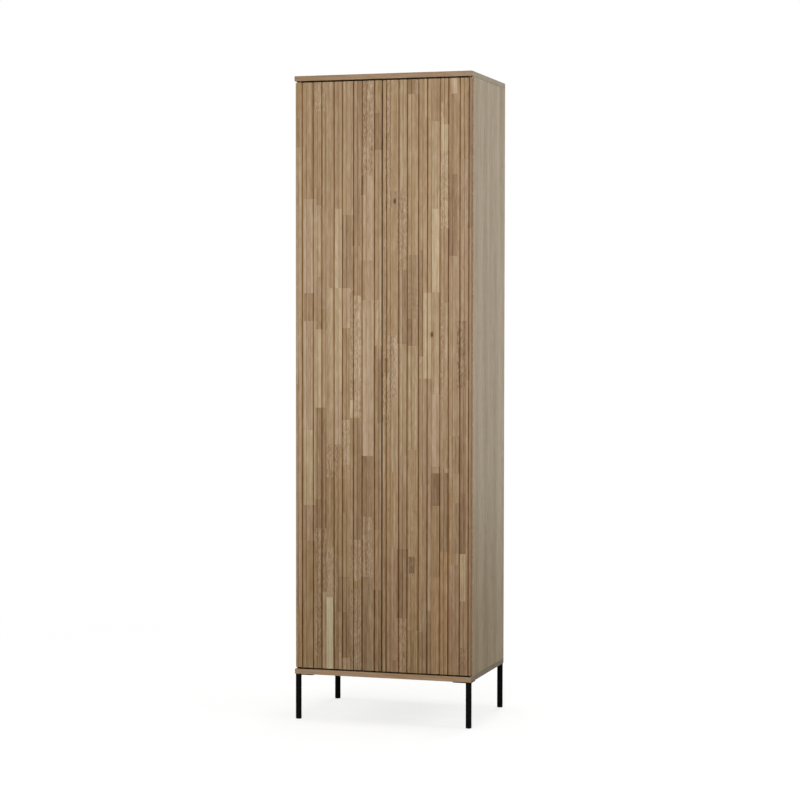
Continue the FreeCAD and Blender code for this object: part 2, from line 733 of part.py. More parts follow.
def legs(cuts):
    """Leg tube on a screwed plate, with a plastic glide, at each corner."""
    screws = []
    for end, ahead in (("front", -1), ("rear", 1)):
        for side, sign in SIDES:
            name = f"{end}_{side}_leg"
            x = signed(sign, width / 2 - leg_edge - leg_radius)
            y = signed(ahead, depth / 2 - leg_edge - leg_radius)
            tube_top = leg_height - leg_plate
            node(tube(name, leg_radius, leg_radius - leg_wall, tube_top - glide_height, (x, y, glide_height)))
            low_x = width / 2 - leg_edge - leg_plate_size if sign > 0 else leg_edge - width / 2
            low_y = depth / 2 - leg_edge - leg_plate_size if ahead > 0 else leg_edge - depth / 2
            blank = body(f"{name}_blank", (low_x, low_y, tube_top))
            outline = sketch(blank, "XY_Plane", f"{name}_outline")
            polygon(outline, ((0, 0), (leg_plate_size, 0), (leg_plate_size, leg_plate_size),
                              (0, leg_plate_size)))
            round_edges(blank, pad(blank, outline, leg_plate), leg_plate_round, upright)
            far = leg_edge + leg_plate_size - leg_screw_inset
            near = leg_edge + leg_screw_inset
            holes = []
            for number, (along_x, along_y) in enumerate(((far, near), (near, far), (far, far)), start=1):
                head = (signed(sign, width / 2 - along_x), signed(ahead, depth / 2 - along_y), tube_top)
                solid, hole = screw(f"{name}_screw_{number}", head, "+z")
                screws.append(solid)
                holes.append(hole)
                cuts["bottom"].append(hole)
            node(cut(f"{name}_plate", blank, holes))
            node(glide(f"{end}_{side}_glide", (x, y, 0)))
    node(group("leg_screws", screws))


def glide(name, foot):
    """Plastic foot: a stem in the leg tube above a rounded flange."""
    obj = body(name, foot)
    stem_radius = leg_radius - leg_wall - fit_play
    profile = sketch(obj, "XZ_Plane", f"{name}_profile")
    polygon(profile, (
        (0, 0), (leg_radius, 0), (leg_radius, glide_height), (stem_radius, glide_height),
        (stem_radius, glide_height + glide_stem), (0, glide_height + glide_stem),
    ))
    turned = obj.newObject("PartDesign::Revolution", f"{name}_turned")
    turned.Profile = profile
    turned.ReferenceAxis = (profile, ["V_Axis"])
    turned.Angle = 360
    obj.Tip = turned

    def lower_rim(edge):
        box_of_edge = edge.BoundBox
        return box_of_edge.ZMax < 1e-6 and box_of_edge.XLength > leg_radius.value * 1.9

    round_edges(obj, turned, glide_round, lower_rim)
    return obj


def carcass(cuts):
    """Boards of the carcass with every hole, groove and mortise that the fittings need."""
    node(cut("top_panel", box("top_block", (width, depth, board), (-(width / 2), front, ceiling)),
             cuts["top"]))
    node(cut("bottom_panel", box("bottom_block", (width, depth, board), (-(width / 2), front, leg_height)),
             cuts["bottom"]))
    for side, sign in SIDES:
        low = side_in if sign > 0 else -(width / 2)
        block = box(f"{side}_block", (board, rear - side_front, ceiling - floor_top),
                    (low, side_front, floor_top))
        node(cut(f"{side}_side_panel", block, cuts[side]))
    shelf = box("fixed_block", (side_in * 2, back_front - side_front, board),
                (-side_in, side_front, fixed_under))
    node(cut("fixed_shelf", shelf, cuts["shelf"]))


def build():
    """Build the whole cabinet."""
    cuts = carcass_joints()
    loose_shelves(cuts)
    door("left", -1, left_first_flute, (rib_one, rib_two, rib_three, rib_four))
    door("right", 1, right_first_flute, (rib_three, rib_four, rib_one, rib_two))
    pivot_hinges(cuts)
    strikes()
    latches(cuts)
    back(cuts)
    wall_brackets(cuts)
    legs(cuts)
    carcass(cuts)
    DOC.recompute()


def write():
    """Check every object, then write one file for each piece."""
    for obj in DOC.Objects:
        if "Invalid" in obj.State or "Error" in obj.State:
            raise RuntimeError(f"{obj.Label} failed: {obj.State}")
    for obj in NODES:
        if obj.Shape.isNull() or not obj.Shape.isValid() or not obj.Shape.Solids:
            raise RuntimeError(f"{obj.Label} has no valid solid")
    os.makedirs("parts", exist_ok=True)
    for obj in NODES:
        obj.Shape.exportStep(f"parts/{obj.Label}.step")
        print(f"{obj.Label}: {len(obj.Shape.Solids)} solids, {obj.Shape.Volume / 1000:.1f} cm3")
    print(f"{len(NODES)} pieces")


build()
write()
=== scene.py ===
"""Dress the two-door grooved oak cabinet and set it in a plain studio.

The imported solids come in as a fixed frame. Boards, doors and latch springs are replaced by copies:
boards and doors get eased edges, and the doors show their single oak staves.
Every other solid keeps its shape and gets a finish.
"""

import logging
import math
import random
from dataclasses import astuple, dataclass, replace
from enum import Enum
from functools import cache
from typing import Iterable, Iterator, Mapping, NamedTuple, Sequence

import bmesh
import bpy
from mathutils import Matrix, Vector


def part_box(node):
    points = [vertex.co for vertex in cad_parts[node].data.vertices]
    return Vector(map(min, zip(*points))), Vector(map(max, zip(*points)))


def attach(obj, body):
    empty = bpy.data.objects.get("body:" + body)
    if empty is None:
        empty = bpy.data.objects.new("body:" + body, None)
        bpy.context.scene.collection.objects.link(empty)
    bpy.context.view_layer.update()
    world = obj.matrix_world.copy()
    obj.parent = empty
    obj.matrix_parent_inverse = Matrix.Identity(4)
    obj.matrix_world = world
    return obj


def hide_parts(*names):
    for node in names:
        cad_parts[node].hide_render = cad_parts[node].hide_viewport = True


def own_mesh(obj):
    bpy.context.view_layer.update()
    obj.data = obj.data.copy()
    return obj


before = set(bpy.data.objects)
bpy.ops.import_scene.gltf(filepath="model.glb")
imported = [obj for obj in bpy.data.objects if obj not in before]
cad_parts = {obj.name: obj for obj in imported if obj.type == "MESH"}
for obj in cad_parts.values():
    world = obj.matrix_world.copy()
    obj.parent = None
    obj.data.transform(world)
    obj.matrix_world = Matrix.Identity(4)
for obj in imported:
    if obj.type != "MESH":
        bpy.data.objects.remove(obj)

LOG = logging.getLogger("cabinet")
# Lengths are in metres, or in millimetres where a name or a docstring says so.
MM = 0.001
WELD = 1e-6
FLAT_ANGLE = math.radians(0.5)
SHARP_ANGLE = math.radians(35.0)
# Least parts of a face's normal along an axis for it to turn that way, and to lie square to it.
FACING = 0.5
SQUARE = 0.9
# Sockets of a mix node's colours, which share their names with its other kinds of data.
MIX_FIRST, MIX_SECOND, MIX_RESULT = 6, 7, 2
# Face attributes of the doors: a stave's tone, darkened by painted shade in grooves and gaps, with
# its share of flecks, and its place in the log.
TONE_LAYER = "stave_colour"
PLACE_LAYER = "stave_seed"
SIDES = ("left", "right")
CORNERS = ("front_left", "front_right", "rear_left", "rear_right")

Socket = bpy.types.NodeSocket
Node = bpy.types.Node
Tree = bpy.types.NodeTree
Shape = bmesh.types.BMesh
Face = bmesh.types.BMFace
Edge = bmesh.types.BMEdge
Colour = tuple[float, float, float, float]
Powers = tuple[float, float, float]
Point = tuple[float, float, float]
Span = tuple[float, float]


def linear(code: str) -> Colour:
    """Turn an sRGB hex colour into linear values.

    Args:
        code: Colour as "#rrggbb".

    Returns:
        Linear red, green, blue and an alpha of 1.
    """
    channels = [int(code[place:place + 2], 16) / 255.0 for place in (1, 3, 5)]
    values = [c / 12.92 if c <= 0.04045 else ((c + 0.055) / 1.055) ** 2.4 for c in channels]
    return (values[0], values[1], values[2], 1.0)


def add_node(tree: Tree, kind: str, settings: Mapping[str, object] | None = None,
             inputs: Mapping[str | int, object] | None = None) -> Node:
    """Add a node, set its options, and set or link its inputs.

    Args:
        tree: Node tree that gets the node.
        kind: Type name of the node after the word ShaderNode.
        settings: Options of the node by name.
        inputs: Input sockets by name or number, each with a socket to link or a value.

    Returns:
        The new node.
    """
    node = tree.nodes.new(f"ShaderNode{kind}")
    for name, value in (settings or {}).items():
        setattr(node, name, value)
    for key, value in (inputs or {}).items():
        if isinstance(value, Socket):
            tree.links.new(value, node.inputs[key])
        else:
            node.inputs[key].default_value = value
    return node


def blank_tree(owner: bpy.types.Material | bpy.types.World) -> Tree:
    """Give a material or a world an empty node tree.

    Args:
        owner: Material or world that is to use nodes.

    Returns:
        Its node tree.
    """
    owner.use_nodes = True
    owner.node_tree.nodes.clear()
    return owner.node_tree


def add_object(name: str, data: bpy.types.ID) -> bpy.types.Object:
    """Put data into the scene as an object at the origin.

    Args:
        name: Name of the object.
        data: Mesh, lamp or camera of the object.

    Returns:
        The new object.
    """
    made = bpy.data.objects.new(name, data)
    bpy.context.scene.collection.objects.link(made)
    return made


class Grain(Enum):
    """Object axes that lie across, through and along a board's grain."""

    UPRIGHT_FACING = ("X", "Y", "Z")
    UPRIGHT_SIDEWAYS = ("Y", "X", "Z")
    CROSSWISE = ("Y", "Z", "X")


class Oak(NamedTuple):
    """Patterns of a cut through oak, each from 0 to 1."""

    band: Socket
    streak: Socket
    mottle: Socket
    fibre: Socket
    ring: Socket
    pore: Socket


class Figure(NamedTuple):
    """Sizes of a cut's figure in millimetres.

    Each pattern has a width across the grain and a length along it. The heart is the depth of the
    trunk's middle behind the surface, the ring is one year's growth, and the sway is how slowly the
    rings wander. A pore starts at the first of its levels of noise and is full at the second.
    """

    band: Span
    streak: Span
    mottle: Span
    heart: float
    ring: float
    # Real fibres and pores are a few tenths of a millimetre wide, too fine for the photograph's
    # pixels, so both are drawn as coarse as they need to be to show.
    fibre: Span = (1.6, 90.0)
    pore: Span = (0.9, 26.0)
    pore_levels: Span = (0.58, 0.72)
    sway: Span = (160.0, 420.0)


STAVE_FIGURE = Figure(band=(13.0, 700.0), streak=(4.5, 480.0), mottle=(9.0, 42.0),
                      heart=70.0, ring=5.0)
VENEER_FIGURE = Figure(band=(100.0, 2400.0), streak=(11.0, 220.0), mottle=(6.0, 65.0),
                       heart=60.0, ring=6.5)


def oak_patterns(tree: Tree, point: Socket, figure: Figure) -> Oak:
    """Draw the growth rings, streaks, fibres and pores that a cut through oak shows.

    Args:
        tree: Node tree that gets the nodes.
        point: Place in millimetres, with the grain along Z.
        figure: Sizes of the cut's figure.

    Returns:
        The patterns.
    """
    # Width across the grain, length along it and octaves of each noise.
    grids = {
        "band": (*figure.band, 1.0),
        "streak": (*figure.streak, 2.0),
        "mottle": (*figure.mottle, 3.0),
        "fibre": (*figure.fibre, 2.0),
        "pore": (*figure.pore, 1.0),
        "sway": (*figure.sway, 1.0),
    }
    noise = {}
    for name, (across, along, detail) in grids.items():
        place = add_node(tree, "VectorMath", {"operation": "DIVIDE"},
                         {0: point, 1: (across, across, along)})
        cloud = add_node(tree, "TexNoise", None,
                         {"Vector": place.outputs[0], "Scale": 1.0, "Detail": detail})
        noise[name] = cloud.outputs[0]
    axes = add_node(tree, "SeparateXYZ", None, {0: point})
    depth = add_node(tree, "Math", {"operation": "MULTIPLY"},
                     {0: noise["sway"], 1: 2.0 * figure.heart})
    cut = add_node(tree, "CombineXYZ", None, {0: axes.outputs[0], 1: depth.outputs[0]})
    reach = add_node(tree, "VectorMath", {"operation": "LENGTH"}, {0: cut.outputs[0]})
    ripple = add_node(tree, "Math", {"operation": "MULTIPLY_ADD"},
                      {0: noise["streak"], 1: figure.ring, 2: reach.outputs["Value"]})
    turn = add_node(tree, "Math", {"operation": "MULTIPLY"},
                    {0: ripple.outputs[0], 1: 2.0 * math.pi / figure.ring})
    wave = add_node(tree, "Math", {"operation": "SINE"}, {0: turn.outputs[0]})
    ring = add_node(tree, "MapRange", None,
                    {"Value": wave.outputs[0], "From Min": -1.0, "From Max": 1.0})
    start, full = figure.pore_levels
    pore = add_node(tree, "MapRange", {"interpolation_type": "SMOOTHSTEP"},
                    {"Value": noise["pore"], "From Min": start, "From Max": full})
    return Oak(noise["band"], noise["streak"], noise["mottle"], noise["fibre"], ring.outputs[0],
               pore.outputs[0])


@dataclass(frozen=True)
class Contrast:
    """How strongly each oak pattern darkens the wood."""

    band: float
    streak: float
    mottle: float
    fibre: float
    ring: float
    pore: float


# Open pores are cut into the wood and rougher than what lies between them.
PORE_ROUGHNESS = 0.2
PORE_DEPTH_MM = 0.15
GRAIN_BUMP = 0.35


def dress_oak(tree: Tree, surface: Node, colour: Socket | Colour, oak: Oak,
              contrast: Contrast, roughness: float) -> None:
    """Stain a surface with oak patterns: colour, roughness and open grain.

    Args:
        tree: Node tree that gets the nodes.
        surface: Shader node to dress.
        colour: The wood's own colour.
        oak: Patterns to show.
        contrast: Strength of each pattern.
        roughness: Roughness between the pores.
    """
    level: Socket | float = 1.0
    for pattern, strength in zip(oak, astuple(contrast)):
        centred = add_node(tree, "MapRange", {"clamp": False},
                           {"Value": pattern, "To Min": -strength / 2, "To Max": strength / 2})
        level = add_node(tree, "Math", {"operation": "ADD"},
                         {0: level, 1: centred.outputs[0]}).outputs[0]
    grain_and_painted_shade = add_node(tree, "Gamma", None, {"Color": colour, "Gamma": level})
    sheen = add_node(tree, "MapRange", None,
                     {"Value": oak.pore, "To Min": roughness, "To Max": roughness + PORE_ROUGHNESS})
    relief = add_node(tree, "Math", {"operation": "MULTIPLY_ADD"},
                      {0: oak.pore, 1: -1.0, 2: oak.fibre})
    bump = add_node(tree, "Bump", None,
                    {"Strength": GRAIN_BUMP, "Distance": PORE_DEPTH_MM * MM,
                     "Height": relief.outputs[0]})
    tree.links.new(grain_and_painted_shade.outputs[0], surface.inputs["Base Color"])
    tree.links.new(sheen.outputs[0], surface.inputs["Roughness"])
    tree.links.new(bump.outputs[0], surface.inputs["Normal"])


def millimetres(tree: Tree) -> Socket:
    """Give the place on the object in millimetres.

    Args:
        tree: Node tree that gets the nodes.

    Returns:
        The place.
    """
    place = add_node(tree, "TexCoord")
    return add_node(tree, "VectorMath", {"operation": "SCALE"},
                    {0: place.outputs["Object"], "Scale": 1.0 / MM}).outputs[0]


@dataclass(frozen=True)
class Finish:
    """A surface finish, made as one procedural material."""

    name: str

    @cache
    def material(self) -> bpy.types.Material:
        """Make the material, once.

        Returns:
            The finish's material.
        """
        made = bpy.data.materials.new(self.name)
        tree = blank_tree(made)
        surface = add_node(tree, "BsdfPrincipled")
        self.dress(tree, surface)
        add_node(tree, "OutputMaterial", None, {"Surface": surface.outputs[0]})
        return made

    def dress(self, tree: Tree, surface: Node) -> None:
        """Set and link the inputs of the finish's shader."""
        raise NotImplementedError


@dataclass(frozen=True)
class OiledStaves(Finish):
    """Solid oak staves, sawn, milled and oiled, each with its own tone, grain and open pores.

    Sizes are in millimetres. A fleck has a width, a length and a slant. A knot has a place across
    and up, a core and a rim, and is drawn out upwards. Levels are of noise. High powers are dark.
    """

    contrast: Contrast
    roughness: float
    gloss: float
    knots_mm: tuple[Span, ...]
    knot_mm: Span = (1.5, 6.0)
    knot_draw: float = 2.0
    knot_power: float = 2.2
    fleck_mm: Span = (3.0, 11.0)
    fleck_slant: float = math.radians(30.0)
    fleck_levels: Span = (0.35, 0.65)
    fleck_powers: Span = (0.13, -0.20)
    # Painted shade: heights and powers that darken the oak low down and lighten it up high.
    floor_shade_mm: Span = (200.0, 950.0)
    floor_shade_powers: Span = (1.055, 0.975)

    def dress(self, tree: Tree, surface: Node) -> None:
        """Colour each stave from its own tone, with ray flecks and a few knots.

        Args:
            tree: Node tree of the material.
            surface: Shader node to dress.
        """
        tone = add_node(tree, "Attribute", {"attribute_name": TONE_LAYER})
        seed = add_node(tree, "Attribute", {"attribute_name": PLACE_LAYER})
        place = millimetres(tree)
        point = add_node(tree, "VectorMath", {"operation": "ADD"},
                         {0: place, 1: seed.outputs["Vector"]}).outputs[0]
        # Ray flecks are lens-shaped, a few millimetres wide, and lie aslant in some staves only.
        width, length = self.fleck_mm
        aslant = add_node(tree, "Mapping", None,
                          {"Vector": point, "Rotation": (0.0, self.fleck_slant, 0.0),
                           "Scale": (1 / width, 1 / width, 1 / length)})
        spots = add_node(tree, "TexNoise", None,
                         {"Vector": aslant.outputs[0], "Scale": 1.0, "Detail": 1.0})
        fleck = add_node(tree, "MapRange", None,
                         {"Value": spots.outputs[0],
                          "From Min": self.fleck_levels[0], "From Max": self.fleck_levels[1],
                          "To Min": self.fleck_powers[0], "To Max": self.fleck_powers[1]})
        # Painted shade and light: the oak turns a little darker and redder towards the floor,
        # lighter up high.
        axes = add_node(tree, "SeparateXYZ", None, {0: place})
        floor_shade = add_node(tree, "MapRange", None,
                          {"Value": axes.outputs["Z"],
                           "From Min": self.floor_shade_mm[0], "From Max": self.floor_shade_mm[1],
                           "To Min": self.floor_shade_powers[0], "To Max": self.floor_shade_powers[1]})
        lift = add_node(tree, "Math", {"operation": "MULTIPLY_ADD"},
                        {0: fleck.outputs[0], 1: tone.outputs["Alpha"], 2: floor_shade.outputs[0]})
        colour = add_node(tree, "Gamma", None,
                          {"Color": tone.outputs["Color"], "Gamma": lift.outputs[0]}).outputs[0]
        for knot in self.knots_mm:
            colour = self.knotted(tree, place, colour, knot)
        surface.inputs["Specular IOR Level"].default_value = self.gloss
        oak = oak_patterns(tree, point, STAVE_FIGURE)
        dress_oak(tree, surface, colour, oak, self.contrast, self.roughness)

    def knotted(self, tree: Tree, place: Socket, colour: Socket, knot: Span) -> Socket:
        """Darken the wood round a knot.

        Args:
            tree: Node tree that gets the nodes.
            place: Place on the doors.
            colour: The wood's own colour.
            knot: The knot's place across and up.

        Returns:
            The colour with the knot.
        """
        core, rim = self.knot_mm
        reach = add_node(tree, "VectorMath", {"operation": "SUBTRACT"},
                         {0: place, 1: (knot[0], 0.0, knot[1])})
        drawn = add_node(tree, "VectorMath", {"operation": "MULTIPLY"},
                         {0: reach.outputs[0], 1: (1.0, 0.0, 1.0 / self.knot_draw)})
        far = add_node(tree, "VectorMath", {"operation": "LENGTH"}, {0: drawn.outputs[0]})
        dark = add_node(tree, "MapRange", {"interpolation_type": "SMOOTHSTEP"},
                        {"Value": far.outputs["Value"], "From Min": core, "From Max": rim,
                         "To Min": self.knot_power, "To Max": 1.0})
        return add_node(tree, "Gamma", None,
                        {"Color": colour, "Gamma": dark.outputs[0]}).outputs[0]


@dataclass(frozen=True)
class OakVeneer(Finish):
    """Sliced oak veneer under matt lacquer: narrow leaves side by side with a soft figure."""

    colour: str
    grain: Grain
    contrast: Contrast
    roughness: float
    leaf_mm: float = 125.0
    slice_mm: float = 430.0
    stagger: float = 7.3

    def dress(self, tree: Tree, surface: Node) -> None:
        """Lay leaves from different places of the log across the board and run the figure along it.

        Args:
            tree: Node tree of the material.
            surface: Shader node to dress.
        """
        axes = add_node(tree, "SeparateXYZ", None, {0: millimetres(tree)})
        across, through, along = (axes.outputs[axis] for axis in self.grain.value)
        leaves = add_node(tree, "Math", {"operation": "DIVIDE"},
                          {0: across, 1: self.leaf_mm})
        leaf = add_node(tree, "Math", {"operation": "FLOOR"}, {0: leaves.outputs[0]})
        side = add_node(tree, "Math", {"operation": "MULTIPLY_ADD"},
                        {0: leaf.outputs[0], 1: -self.leaf_mm, 2: across})
        centred = add_node(tree, "Math", {"operation": "SUBTRACT"},
                           {0: side.outputs[0], 1: self.leaf_mm / 2})
        depth = add_node(tree, "Math", {"operation": "MULTIPLY_ADD"},
                         {0: leaf.outputs[0], 1: self.slice_mm, 2: through})
        # Boards at other places start elsewhere on the leaf.
        start = add_node(tree, "Math", {"operation": "MULTIPLY_ADD"},
                         {0: through, 1: self.stagger, 2: along})
        point = add_node(tree, "CombineXYZ", None,
                         {0: centred.outputs[0], 1: depth.outputs[0], 2: start.outputs[0]})
        oak = oak_patterns(tree, point.outputs[0], VENEER_FIGURE)
        dress_oak(tree, surface, linear(self.colour), oak, self.contrast, self.roughness)


@dataclass(frozen=True, kw_only=True)
class TwoTone(Finish):
    """A finish with a fine pattern between two close colours that makes its roughness waver too."""

    colour: str
    shade: str
    roughness: float
    waver: float

    def tint(self, tree: Tree, surface: Node, pattern: Socket) -> None:
        """Colour and roughen a surface by a pattern.

        Args:
            tree: Node tree of the material.
            surface: Shader node to dress.
            pattern: The pattern, from 0 to 1.
        """
        colour = add_node(tree, "Mix", {"data_type": "RGBA"},
                          {0: pattern, MIX_FIRST: linear(self.colour),
                           MIX_SECOND: linear(self.shade)})
        rough = add_node(tree, "MapRange", None,
                         {"Value": pattern, "To Min": self.roughness - self.waver,
                          "To Max": self.roughness + self.waver})
        tree.links.new(colour.outputs[MIX_RESULT], surface.inputs["Base Color"])
        tree.links.new(rough.outputs[0], surface.inputs["Roughness"])


@dataclass(frozen=True, kw_only=True)
class Coated(TwoTone):
    """A coating or moulding in one colour, with a fine grain that breaks the light."""

    grain_mm: float
    relief_mm: float
    waver: float = 0.06
    gloss: float = 0.5
    bump: float = 0.4

    def dress(self, tree: Tree, surface: Node) -> None:
        """Speckle the colour and raise the grain.

        Args:
            tree: Node tree of the material.
            surface: Shader node to dress.
        """
        speckle = add_node(tree, "TexNoise", None,
                           {"Vector": millimetres(tree), "Scale": 1.0 / self.grain_mm,
                            "Detail": 2.0})
        bump = add_node(tree, "Bump", None,
                        {"Strength": self.bump, "Distance": self.relief_mm * MM,
                         "Height": speckle.outputs[0]})
        surface.inputs["Specular IOR Level"].default_value = self.gloss
        tree.links.new(bump.outputs[0], surface.inputs["Normal"])
        self.tint(tree, surface, speckle.outputs[0])


@dataclass(frozen=True, kw_only=True)
class BareMetal(TwoTone):
    """Plated or turned metal with fine tool marks, drawn out along X."""

    mark_mm: float
    draw: float = 10.0
    waver: float = 0.1

    def dress(self, tree: Tree, surface: Node) -> None:
        """Draw tool marks into the colour and the roughness.

        Args:
            tree: Node tree of the material.
            surface: Shader node to dress.
        """
        pitch = 1.0 / self.mark_mm
        marks = add_node(tree, "Mapping", None,
                         {"Vector": millimetres(tree), "Scale": (pitch / self.draw, pitch, pitch)})
        drawn = add_node(tree, "TexNoise", None,
                         {"Vector": marks.outputs[0], "Scale": 1.0, "Detail": 3.0})
        surface.inputs["Metallic"].default_value = 1.0
        self.tint(tree, surface, drawn.outputs[0])


VENEER_CONTRAST = Contrast(band=1.00, streak=0.55, mottle=0.50, fibre=0.16, ring=0.08, pore=0.14)
FOIL_CONTRAST = Contrast(band=0.40, streak=0.40, mottle=0.10, fibre=0.16, ring=0.12, pore=0.14)
STAVE_CONTRAST = Contrast(band=0.42, streak=0.62, mottle=0.52, fibre=0.22, ring=0.06, pore=0.16)
EDGE_CONTRAST = Contrast(band=0.30, streak=0.55, mottle=0.35, fibre=0.16, ring=0.08, pore=0.14)
BEECH_CONTRAST = Contrast(band=0.04, streak=0.06, mottle=0.0, fibre=0.12, ring=0.0, pore=0.10)

# Oiled staves: a matt front of many browns, with grain, ray flecks and two knots.
STAVE_OAK = OiledStaves("oiled_oak_staves", STAVE_CONTRAST, roughness=0.56, gloss=0.35,
                        knots_mm=((40.0, 1610.0), (159.0, 1203.0)))
# Lacquered veneer with a long quiet figure and a soft sheen. The sides' greyer colour is painted
# cool light; the boards keep the warmer colour of the oak.
PAINTED_COOL_SIDE_OAK = OakVeneer("oak_veneer_sides_painted_cool_light", "#9e8967", Grain.UPRIGHT_SIDEWAYS, VENEER_CONTRAST,
                     roughness=0.4)
BOARD_OAK = OakVeneer("oak_veneer_boards", "#a08461", Grain.CROSSWISE, VENEER_CONTRAST,
                      roughness=0.4)
# Edge bands: plainer and duller strips, each in the tone that its edge has in the photograph.
EDGE_OAK = OakVeneer("oak_edge_band", "#a98966", Grain.CROSSWISE, EDGE_CONTRAST, roughness=0.5)
BROWN_EDGE_OAK = replace(EDGE_OAK, name="oak_edge_band_brown", colour="#917352")
# Top panel's ends: paler and greyer, which is painted cool light like the sides.
PAINTED_COOL_TOP_END_OAK = replace(EDGE_OAK, name="oak_end_band_painted_cool_light", colour="#93856c")
# Bottom panel's ends: darker, which is painted shade low by the floor.
PAINTED_SHADE_BOTTOM_END_OAK = replace(EDGE_OAK, name="oak_end_band_painted_shade", colour="#7f7059")
# Foil on the back: a flat printed figure without sheen.
BACK_OAK = OakVeneer("oak_foil_back", "#9c8160", Grain.UPRIGHT_FACING, FOIL_CONTRAST,
                     roughness=0.55)
# Beech: pale dowels, nearly without figure.
BEECH = OakVeneer("beech_dowels", "#c9a577", Grain.CROSSWISE, BEECH_CONTRAST, roughness=0.6)
# Powder coat flows into a fine orange peel of about a millimetre, so black legs look soft and matt.
POWDER_COAT = Coated("black_powder_coat", colour="#040405", shade="#090909", grain_mm=0.9,
                     relief_mm=0.05, roughness=0.62, gloss=0.08)
# Moulded polypropylene: waxy black with a finer grain.
BLACK_PLASTIC = Coated("black_polypropylene", colour="#050505", shade="#0b0b0b", grain_mm=0.6,
                       relief_mm=0.03, roughness=0.66, gloss=0.1)
# Black zinc: dark grey fittings with a low shine.
BLACK_ZINC = Coated("black_zinc_plating", colour="#161617", shade="#222222", grain_mm=0.4,
                    relief_mm=0.02, roughness=0.4)
# Moulded housing: plain mid grey with a spark-eroded grain.
GREY_PLASTIC = Coated("grey_abs_housing", colour="#71716f", shade="#7b7b79", grain_mm=0.5,
                      relief_mm=0.03, roughness=0.5)
# Acetal: milky white, smoother than the housing.
WHITE_PLASTIC = Coated("white_acetal_plunger", colour="#d3d3cf", shade="#dddcd8", grain_mm=0.5,
                       relief_mm=0.02, roughness=0.4)
# Zinc-plated steel: bright bluish metal with drawn marks.
ZINC_STEEL = BareMetal("zinc_plated_steel", colour="#b9bbbd", shade="#d0d2d3", mark_mm=0.25,
                       roughness=0.32)
# Turned brass: warm yellow metal with the marks of the tool.
TURNED_BRASS = BareMetal("turned_brass", colour="#b8945a", shade="#cfae72", mark_mm=0.2,
                         roughness=0.28)


def welded_copy(node: str) -> Shape:
    """Copy a CAD node's triangles, weld them and join flat ones into whole faces.

    Args:
        node: Name of the CAD node.

    Returns:
        The copy as a bmesh.
    """
    shape = bmesh.new()
    shape.from_mesh(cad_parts[node].data)
    bmesh.ops.remove_doubles(shape, verts=shape.verts, dist=WELD)
    bmesh.ops.dissolve_limit(shape, angle_limit=FLAT_ANGLE, verts=shape.verts, edges=shape.edges)
    return shape


def ease(shape: Shape, edges: Sequence[Edge], radius: float) -> None:
    """Round the given edges of a shape.

    Args:
        shape: Shape to change.
        edges: Edges to round.
        radius: Width of the rounding in metres.
    """
    bmesh.ops.bevel(shape, geom=list(edges), offset=radius, offset_type="OFFSET", affect="EDGES",
                    segments=2, profile=0.5, material=-1, clamp_overlap=True)


def make_piece(shape: Shape, node: str, body: str,
               finish: Finish) -> bpy.types.Object:
    """Turn a shape into a piece that stands for a CAD node.

    Args:
        shape: Shape to use up.
        node: CAD node that the piece replaces.
        body: Body that carries the piece.
        finish: Finish of the piece.

    Returns:
        The piece.
    """
    for face in shape.faces:
        face.smooth = True
    for edge in shape.edges:
        edge.smooth = edge.calc_face_angle(0.0) < SHARP_ANGLE
    name = f"{node}_eased"
    mesh = bpy.data.meshes.new(name)
    shape.to_mesh(mesh)
    shape.free()
    mesh.materials.append(finish.material())
    piece = add_object(name, mesh)
    even = piece.modifiers.new("even_shading", "WEIGHTED_NORMAL")
    even.keep_sharp = True
    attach(piece, body)
    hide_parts(node)
    LOG.info("%s: %d faces", name, len(mesh.polygons))
    return piece


def coat(nodes: Sequence[str], finish: Finish) -> None:
    """Give CAD nodes that keep their shape a finish.

    Args:
        nodes: Names of the nodes.
        finish: Finish to give.
    """
    for node in nodes:
        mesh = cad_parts[node].data
        mesh.materials.clear()
        mesh.materials.append(finish.material())
        LOG.info("%s: %s", node, finish.name)


# Where a board's edge bands come among its materials, after its veneer.
FRONT_BAND, END_BAND = 1, 2


@dataclass(frozen=True)
class Board:
    """A veneered board: its CAD node and the finishes of its faces, its front edge and its ends."""

    node: str
    face: Finish
    front: Finish = EDGE_OAK
    ends: Finish | None = None

    def build(self, edge_radius: float) -> None:
        """Ease the board's outer edges and band its edges.

        Args:
            edge_radius: Width of the rounding in metres.
        """
        shape = welded_copy(self.node)
        ease(shape, self.outer_edges(shape), edge_radius)
        mesh = make_piece(shape, self.node, "cabinet", self.face).data
        mesh.materials.append(self.front.material())
        mesh.materials.append((self.ends or self.face).material())
        low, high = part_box(self.node)
        for face in mesh.polygons:
            to_end = min(face.center.x - low.x, high.x - face.center.x)
            if face.normal.y < -FACING and face.center.y - low.y < edge_radius:
                face.material_index = FRONT_BAND
            elif abs(face.normal.x) > FACING and to_end < edge_radius:
                face.material_index = END_BAND

    def outer_edges(self, shape: Shape) -> list[Edge]:
        """Find the edges that lie on two faces of the board's box.

        Args:
            shape: The board.

        Returns:
            The board's outer edges.
        """
        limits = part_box(self.node)

        def walls(vert: bmesh.types.BMVert) -> set[tuple[int, int]]:
            """Give the sides of the box that a corner touches."""
            return {(axis, end) for axis in range(3) for end in range(2)
                    if abs(vert.co[axis] - limits[end][axis]) < WELD}

        return [edge for edge in shape.edges
                if len(walls(edge.verts[0]) & walls(edge.verts[1])) >= 2]


